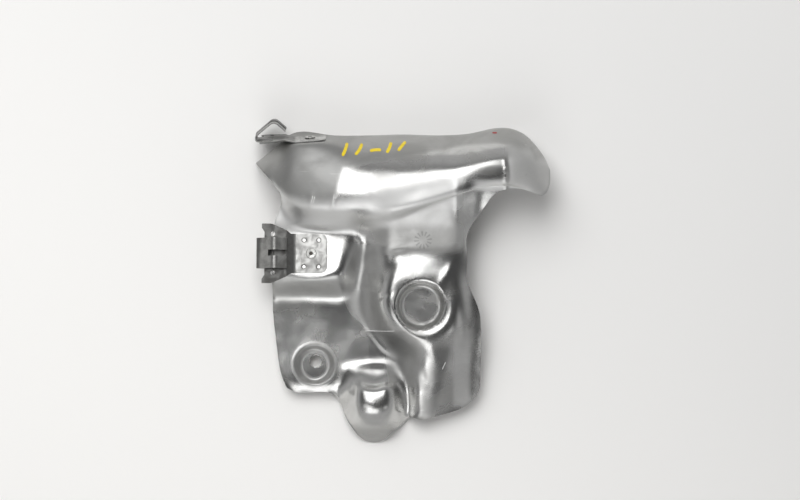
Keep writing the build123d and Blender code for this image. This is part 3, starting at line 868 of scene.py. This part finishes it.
def smoothing_tree():
    """Geometry nodes that shade a solid smooth, apart from its sharp edges."""
    if "Smooth solid" in bpy.data.node_groups:
        return bpy.data.node_groups["Smooth solid"]
    tree = bpy.data.node_groups.new("Smooth solid", "GeometryNodeTree")
    tree.interface.new_socket("Geometry", in_out="INPUT", socket_type="NodeSocketGeometry")
    tree.interface.new_socket("Geometry", in_out="OUTPUT", socket_type="NodeSocketGeometry")
    start = node(tree, "NodeGroupInput", (-600, 0))
    merge = node(tree, "GeometryNodeMergeByDistance", (-400, 0))
    merge.inputs["Distance"].default_value = MERGE_DISTANCE
    faces = node(tree, "GeometryNodeSetShadeSmooth", (-200, 0), domain="FACE")
    edges = node(tree, "GeometryNodeSetShadeSmooth", (0, 0), domain="EDGE")
    angle = node(tree, "GeometryNodeInputMeshEdgeAngle", (-400, -200))
    soft = node(tree, "FunctionNodeCompare", (-200, -200), operation="LESS_THAN")
    soft.inputs[1].default_value = math.radians(SHARP_SOLID)
    end = node(tree, "NodeGroupOutput", (200, 0))
    tree.links.new(start.outputs[0], merge.inputs["Geometry"])
    tree.links.new(merge.outputs[0], faces.inputs["Geometry"])
    tree.links.new(faces.outputs[0], edges.inputs["Geometry"])
    tree.links.new(angle.outputs["Unsigned Angle"], soft.inputs[0])
    tree.links.new(soft.outputs[0], edges.inputs["Shade Smooth"])
    tree.links.new(edges.outputs[0], end.inputs[0])
    return tree


def dress_solid(name, material):
    """Gives a CAD solid its material and smooth shading."""
    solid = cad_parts[name]
    solid.data.materials.clear()
    solid.data.materials.append(material)
    solid.modifiers.new("Smooth solid", "NODES").node_group = smoothing_tree()
    return solid


class HEATSHIELD_OT_panel(bpy.types.Operator):
    """Press the panel: a fine skin over the solid's form, with its handling marks, and cut the bolt hole"""

    bl_idname = "heatshield.panel"
    bl_label = "Pressed panel"

    def execute(self, context):
        settings = context.scene.heatshield_sheet
        outer = skin_points(settings.columns, settings.wall_rows, settings.front_rows)
        normal = outward_normals(outer)
        outer = outer + normal * handling(outer, settings.waviness)[..., None]
        inner = outer - outward_normals(outer) * settings.thickness * MM
        columns, rows = outer.shape[:2]
        vertices = np.concatenate([outer.reshape(-1, 3), inner.reshape(-1, 3)]) / MM
        index = np.arange(columns * rows).reshape(columns, rows)
        quads = np.stack([index[:-1, 1:], index[1:, 1:], index[1:, :-1], index[:-1, :-1]], axis=-1)
        quads = quads.reshape(-1, 4)
        faces = [quads, quads[:, ::-1] + columns * rows]
        border = np.concatenate([index[:-1, -1], index[-1, :0:-1], index[:0:-1, 0], index[0, :-1]])
        after = np.roll(border, -1)
        faces.append(np.stack([after, border, border + columns * rows, after + columns * rows], axis=-1))
        panel = smooth_mesh("pressed_panel", vertices, np.concatenate(faces).tolist(), SHARP_SHEET)
        self.weigh(panel, outer)
        self.cut_hole(panel)
        panel.data.materials.append(sheet_material(settings))
        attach(panel, "root")
        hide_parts("shield_panel")
        return {"FINISHED"}

    def weigh(self, panel, outer):
        """Stores the finish of the skin and how near its cut edge each point is."""
        columns, rows = outer.shape[:2]
        i, j = np.meshgrid(np.arange(columns), np.arange(rows), indexing="ij")
        steps = np.minimum(np.minimum(i, columns - 1 - i), np.minimum(j, rows - 1 - j))
        weights = finish(outer[..., 0], outer[..., 1])
        weights["rim"] = ease((RIM_STEPS - steps) / RIM_STEPS)
        for name, values in weights.items():
            attribute = panel.data.attributes.new(name, "FLOAT", "POINT")
            attribute.data.foreach_set("value", np.tile(values.ravel(), 2).astype(np.float32))

    def cut_hole(self, panel):
        """Cuts the bolt hole with a short round tool."""
        sides = BOLT_HOLE_SIDES
        angle = np.arange(sides) * math.tau / sides
        x = BOLT_HOLE_CENTRE[0] + BOLT_HOLE_RADIUS * np.cos(angle)
        y = BOLT_HOLE_CENTRE[1] + BOLT_HOLE_RADIUS * np.sin(angle)
        vertices = [(x[k] / MM, y[k] / MM, z / MM) for z in BOLT_HOLE_TOOL for k in range(sides)]
        faces = [(k, (k + 1) % sides, sides + (k + 1) % sides, sides + k) for k in range(sides)]
        faces += [tuple(range(sides - 1, -1, -1)), tuple(range(sides, 2 * sides))]
        tool = smooth_mesh("hole_tool", vertices, faces, SHARP_FLAT)
        cut = panel.modifiers.new("Bolt hole", "BOOLEAN")
        cut.object = tool
        cut.solver = "EXACT"
        graph = bpy.context.evaluated_depsgraph_get()
        result = bpy.data.meshes.new_from_object(panel.evaluated_get(graph), depsgraph=graph)
        panel.modifiers.clear()
        panel.data = result
        bpy.data.objects.remove(tool)


class HEATSHIELD_OT_marks(bpy.types.Operator):
    """Lay the marker dashes, the check dot and the scratches on the panel"""

    bl_idname = "heatshield.marks"
    bl_label = "Marks"

    def execute(self, context):
        settings = context.scene.heatshield_paint
        context.view_layer.update()
        for name, lines, width, colour in (
            ("marker_dashes", DASHES, settings.tip, settings.yellow),
            ("check_dot", DOT, settings.dot, settings.red),
            ("scratches", SCRATCHES, settings.scratch, settings.bare),
        ):
            piece = self.strokes(name, lines, width, settings.coat)
            piece.data.materials.append(paint_material(name, colour))
            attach(piece, "root")
        return {"FINISHED"}

    def strokes(self, name, lines, width, coat):
        """Thin strips with round ends along lines, laid on the panel from above."""
        panel = bpy.data.objects["pressed_panel"]
        share = np.linspace(0, 1, STROKE_POINTS)
        half = width / 2 * np.sqrt(1 - np.abs(2 * share - 1) ** STROKE_END)
        vertices, faces = [], []
        for line in lines:
            path = line_points(line, share)[:, :2] / MM
            run = np.gradient(path, axis=0)
            side = np.stack([-run[:, 1], run[:, 0]], axis=1) / np.linalg.norm(run, axis=1, keepdims=True)
            for k in range(len(share)):
                for reach in (-half[k], 0, half[k]):
                    x, y = path[k] + side[k] * reach
                    hit, place, normal, face = panel.ray_cast((x, y, 1), (0, 0, -1))
                    vertices.append(place + normal * coat)
            first = len(vertices) - 3 * len(share)
            for k in range(first, len(vertices) - 3, 3):
                faces += [(k, k + 3, k + 4, k + 1), (k + 1, k + 4, k + 5, k + 2)]
        return smooth_mesh(name, vertices, faces, SHARP_MARK)


class HEATSHIELD_OT_clips(bpy.types.Operator):
    """Finish the two spring clips"""

    bl_idname = "heatshield.clips"
    bl_label = "Spring clips"

    def execute(self, context):
        settings = context.scene.heatshield_clip
        steel = clip_material(settings)
        for name in ("side_clip", "upper_clip"):
            solid = dress_solid(name, steel)
            edge = solid.modifiers.new("Broken edges", "BEVEL")
            edge.width = settings.edge
            edge.segments = CLIP_EDGE_SEGMENTS
            edge.angle_limit = math.radians(CLIP_EDGE_ANGLE)
            edge.harden_normals = True
        return {"FINISHED"}


class HEATSHIELD_OT_rivets(bpy.types.Operator):
    """Finish the two tubular rivets"""

    bl_idname = "heatshield.rivets"
    bl_label = "Rivets"

    def execute(self, context):
        plated = rivet_material(context.scene.heatshield_clip)
        for name in ("side_clip_rivet", "upper_clip_rivet"):
            dress_solid(name, plated)
        return {"FINISHED"}


class HEATSHIELD_OT_stage(bpy.types.Operator):
    """Set the floor, the lights and the camera straight above"""

    bl_idname = "heatshield.stage"
    bl_label = "Stage"

    def execute(self, context):
        settings = context.scene.heatshield_stage
        context.scene.view_settings.view_transform = "Standard"
        self.lay_table(settings)
        self.paint_room(context.scene, settings)
        for name, (setting, place, target, size) in SOFTBOXES.items():
            lamp = self.softbox(name, place, target, size, getattr(settings, setting))
            lamp.visible_glossy = setting != "table"
        self.hang_camera(context.scene, settings)
        return {"FINISHED"}

    def lay_table(self, settings):
        """A pale table under the part, with painted light making it lighter towards the front left."""
        ground = cad_box[0][2]
        corners = [(x * TABLE_HALF, y * TABLE_HALF, ground) for x, y in ((-1, -1), (1, -1), (1, 1), (-1, 1))]
        floor = smooth_mesh("table_top", corners, [(0, 1, 2, 3)], SHARP_FLAT)
        material, tree, shader = new_material("pale_table")
        # Painted light: the table's colour grows lighter towards the front left
        where = node(tree, "ShaderNodeVectorMath", (-600, 0), operation="DOT_PRODUCT")
        where.inputs[1].default_value = TABLE_LIGHT_WAY
        tree.links.new(node(tree, "ShaderNodeTexCoord", (-800, 0)).outputs["Object"], where.inputs[0])
        near = ramp(tree, (-400, 0), where.outputs["Value"], *TABLE_LIGHT_RUN)
        colour = mix_colour(tree, (-100, 0), near, settings.floor, settings.near)
        tree.links.new(colour, shader.inputs["Base Color"])
        shader.inputs["Roughness"].default_value = TABLE_ROUGHNESS
        shader.inputs["Specular IOR Level"].default_value = TABLE_SHINE
        floor.data.materials.append(material)

    def paint_room(self, scene, settings):
        """Walls around the part, darker overhead."""
        world = bpy.data.worlds.new("studio")
        world.use_nodes = True
        tree = world.node_tree
        where = node(tree, "ShaderNodeSeparateXYZ", (-800, 0))
        tree.links.new(node(tree, "ShaderNodeTexCoord", (-1000, 0)).outputs["Generated"], where.inputs[0])
        height = ramp(tree, (-600, 0), where.outputs["Z"], *SKY_RUN)
        shade = mix_colour(tree, (-300, 0), height, settings.surround, settings.overhead)
        tree.links.new(shade, tree.nodes["Background"].inputs["Color"])
        scene.world = world

    def hang_camera(self, scene, settings):
        """A camera that looks straight down."""
        camera = bpy.data.cameras.new("top_camera")
        camera.sensor_fit = "HORIZONTAL"
        camera.sensor_width = SENSOR_WIDTH
        camera.lens = SENSOR_WIDTH * settings.distance / settings.picture
        holder = bpy.data.objects.new("top_camera", camera)
        holder.location = (*CAMERA_PLACE, settings.distance)
        scene.collection.objects.link(holder)
        scene.camera = holder

    def softbox(self, name, place, target, size, watts):
        """A rectangular soft light that faces a point."""
        light = bpy.data.lights.new(name, "AREA")
        light.shape = "RECTANGLE"
        light.size, light.size_y = size
        light.energy = watts
        lamp = bpy.data.objects.new(name, light)
        lamp.location = place
        lamp.rotation_euler = (Vector(target) - Vector(place)).to_track_quat("-Z", "Y").to_euler()
        bpy.context.scene.collection.objects.link(lamp)
        return lamp


class HEATSHIELD_PT_sidebar(bpy.types.Panel):
    """Steps of the heat shield."""

    bl_label = "Heat shield"
    bl_space_type = "VIEW_3D"
    bl_region_type = "UI"
    bl_category = "Heat shield"

    def draw(self, context):
        for step in STEPS:
            self.layout.operator(step.bl_idname)
        for group in SETTINGS:
            settings = getattr(context.scene, group)
            for name in settings.__annotations__:
                self.layout.prop(settings, name)


STEPS = (
    HEATSHIELD_OT_panel,
    HEATSHIELD_OT_marks,
    HEATSHIELD_OT_clips,
    HEATSHIELD_OT_rivets,
    HEATSHIELD_OT_stage,
)
SETTINGS = {
    "heatshield_sheet": SheetSettings,
    "heatshield_clip": ClipSettings,
    "heatshield_paint": PaintSettings,
    "heatshield_stage": StageSettings,
}


def register():
    for group in SETTINGS.values():
        bpy.utils.register_class(group)
    for step in (*STEPS, HEATSHIELD_PT_sidebar):
        bpy.utils.register_class(step)
    for name, group in SETTINGS.items():
        setattr(bpy.types.Scene, name, PointerProperty(type=group))


def unregister():
    for name in SETTINGS:
        delattr(bpy.types.Scene, name)
    for step in reversed((*SETTINGS.values(), *STEPS, HEATSHIELD_PT_sidebar)):
        bpy.utils.unregister_class(step)


def main():
    register()
    bpy.ops.heatshield.panel()
    bpy.ops.heatshield.marks()
    bpy.ops.heatshield.clips()
    bpy.ops.heatshield.rivets()
    bpy.ops.heatshield.stage()


if __name__ == "__main__":
    main()
